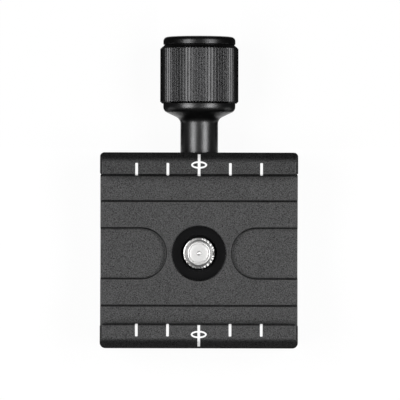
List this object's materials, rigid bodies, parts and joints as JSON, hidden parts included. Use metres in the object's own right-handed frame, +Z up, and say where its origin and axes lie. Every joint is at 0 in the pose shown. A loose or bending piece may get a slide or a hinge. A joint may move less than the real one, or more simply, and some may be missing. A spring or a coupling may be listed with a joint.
{
  "type": "dovetail quick release clamp",
  "caption": "Screw-knob quick release clamp with a dovetail channel between a fixed jaw and a sliding jaw, and a threaded socket underneath.",
  "frame": {"origin": "centre of the mounting thread's mouth in the flat underside", "axes": "+X along the jaws, +Y from the fixed jaw to the knob, +Z up from the underside to the plate channel"},
  "size_m": [0.0504, 0.0796, 0.0204],
  "materials": {
    "body_black": "bead-blasted, black anodised",
    "jaw_black": "bead-blasted, black anodised",
    "bush_steel": "turned stainless",
    "insert_steel": "plain",
    "screw_steel": "plain",
    "hub_black": "turned, satin black anodised",
    "grip_black": "straight ribs, black anodised",
    "cap_black": "turned, satin black anodised",
    "washer_nylon": "plain nylon",
    "washer_steel": "plain",
    "pin_steel": "ground",
    "spring_steel": "drawn wire",
    "stop_steel": "black oxide",
    "mark_white": "white paint in engraved lines"
  },
  "bodies": {
    "base": {"base_body": "body_black", "mounting_bush": "bush_steel", "screw_insert": "insert_steel", "stop_screw_left": "stop_steel", "stop_screw_right": "stop_steel", "return_spring_left": "spring_steel", "return_spring_right": "spring_steel", "fixed_jaw_marks": "mark_white"},
    "jaw": {"moving_jaw": "jaw_black", "moving_jaw_marks": "mark_white", "guide_pin_left": "pin_steel", "guide_pin_right": "pin_steel", "friction_washer": "washer_nylon"},
    "knob": {"knob_hub": "hub_black", "knob_grip": "grip_black", "knob_cap": "cap_black", "lead_screw": "screw_steel", "thrust_washer": "washer_steel"}
  },
  "joints": [
    {"name": "jaw_slide", "type": "slide", "parent": "base", "child": "jaw", "axis": [0, -1, 0], "range_m": [-0.0015, 0.0022], "deforming": ["return_spring_left", "return_spring_right"]},
    {"name": "knob_turn", "type": "hinge", "parent": "jaw", "child": "knob", "pos_m": [0, 0.0258, 0.0104], "axis": [0, -1, 0], "range_deg": [-540, 792]}
  ],
  "couplings": [
    {"joint": "knob_turn", "follows": "jaw_slide", "rad_per_m": 6283.2}
  ]
}
